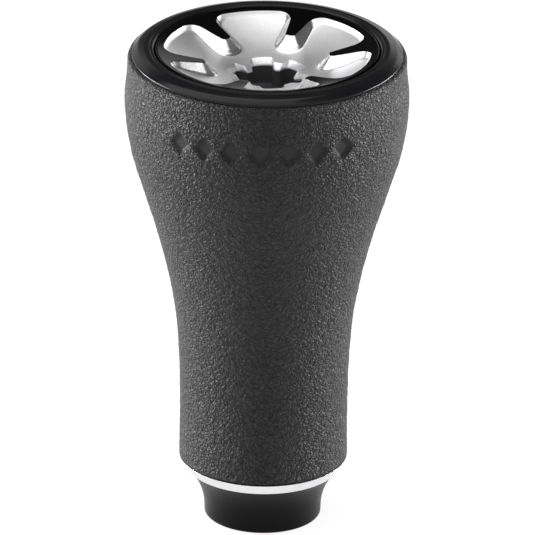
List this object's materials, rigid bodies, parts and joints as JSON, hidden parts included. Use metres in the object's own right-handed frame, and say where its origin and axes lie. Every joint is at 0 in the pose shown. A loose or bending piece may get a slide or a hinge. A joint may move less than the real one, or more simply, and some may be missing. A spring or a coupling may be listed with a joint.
{
  "type": "crank handle knob",
  "caption": "Pear-shaped soft-grip knob for a crank or winch handle arm, spinning on two ball bearings, with a machined end cap and a bell-shaped collar.",
  "frame": {"origin": "centre of the collar's lower face, where the knob stands", "axes": "+Z along the spin axis, from the collar up to the end cap; the knob is round, so +X and +Y are any two square directions"},
  "size_m": [0.038, 0.038, 0.0674],
  "materials": {
    "grip_rubber": "matt, leather grained",
    "bezel_gloss": "polished black",
    "cap_aluminium": "black coated top with bright machined pockets",
    "trim_aluminium": "bright machined chamfer",
    "collar_black": "black anodised, semi-gloss",
    "former_nylon": "moulded",
    "core_aluminium": "turned",
    "seal_rubber": "matt",
    "bearing_steel": "ground",
    "ball_steel": "polished",
    "cage_brass": "pressed",
    "shield_steel": "pressed",
    "stainless": "turned"
  },
  "bodies": {
    "spindle": {"spindle_bush": "stainless", "lower_inner_race": "bearing_steel", "upper_inner_race": "bearing_steel", "spacer_tube": "core_aluminium", "wave_washer": "stainless", "retaining_washer": "stainless", "retaining_screw": "stainless"},
    "knob": {"grip": "grip_rubber", "grip_former": "former_nylon", "core_tube": "core_aluminium", "circlip": "stainless", "collar": "collar_black", "trim_ring": "trim_aluminium", "dust_seal": "seal_rubber", "bezel_ring": "bezel_gloss", "lower_outer_race": "bearing_steel", "upper_outer_race": "bearing_steel", "lower_shield_bottom": "shield_steel", "lower_shield_top": "shield_steel", "upper_shield_bottom": "shield_steel", "upper_shield_top": "shield_steel"},
    "cap": {"end_cap": "cap_aluminium", "cap_o_ring": "seal_rubber"},
    "lower_ball_set": {"lower_ball_cage": "cage_brass", "lower_ball_01": "ball_steel", "lower_ball_02": "ball_steel", "lower_ball_03": "ball_steel", "lower_ball_04": "ball_steel", "lower_ball_05": "ball_steel", "lower_ball_06": "ball_steel", "lower_ball_07": "ball_steel", "lower_ball_08": "ball_steel", "lower_ball_09": "ball_steel", "lower_ball_10": "ball_steel"},
    "upper_ball_set": {"upper_ball_cage": "cage_brass", "upper_ball_01": "ball_steel", "upper_ball_02": "ball_steel", "upper_ball_03": "ball_steel", "upper_ball_04": "ball_steel", "upper_ball_05": "ball_steel", "upper_ball_06": "ball_steel", "upper_ball_07": "ball_steel", "upper_ball_08": "ball_steel", "upper_ball_09": "ball_steel", "upper_ball_10": "ball_steel"}
  },
  "joints": [
    {"name": "knob_spin", "type": "hinge", "parent": "spindle", "child": "knob", "pos_m": [0, 0, 0], "axis": [0, 0, 1], "continuous": true},
    {"name": "cap_lift_off", "type": "slide", "parent": "knob", "child": "cap", "axis": [0, 0, 1], "range_m": [0, 0.012]},
    {"name": "lower_balls_orbit", "type": "hinge", "parent": "spindle", "child": "lower_ball_set", "pos_m": [0, 0, 0.00285], "axis": [0, 0, 1], "continuous": true},
    {"name": "upper_balls_orbit", "type": "hinge", "parent": "spindle", "child": "upper_ball_set", "pos_m": [0, 0, 0.04775], "axis": [0, 0, 1], "continuous": true}
  ],
  "couplings": [
    {"joint": "lower_balls_orbit", "follows": "knob_spin", "ratio": 0.56},
    {"joint": "upper_balls_orbit", "follows": "knob_spin", "ratio": 0.56}
  ]
}
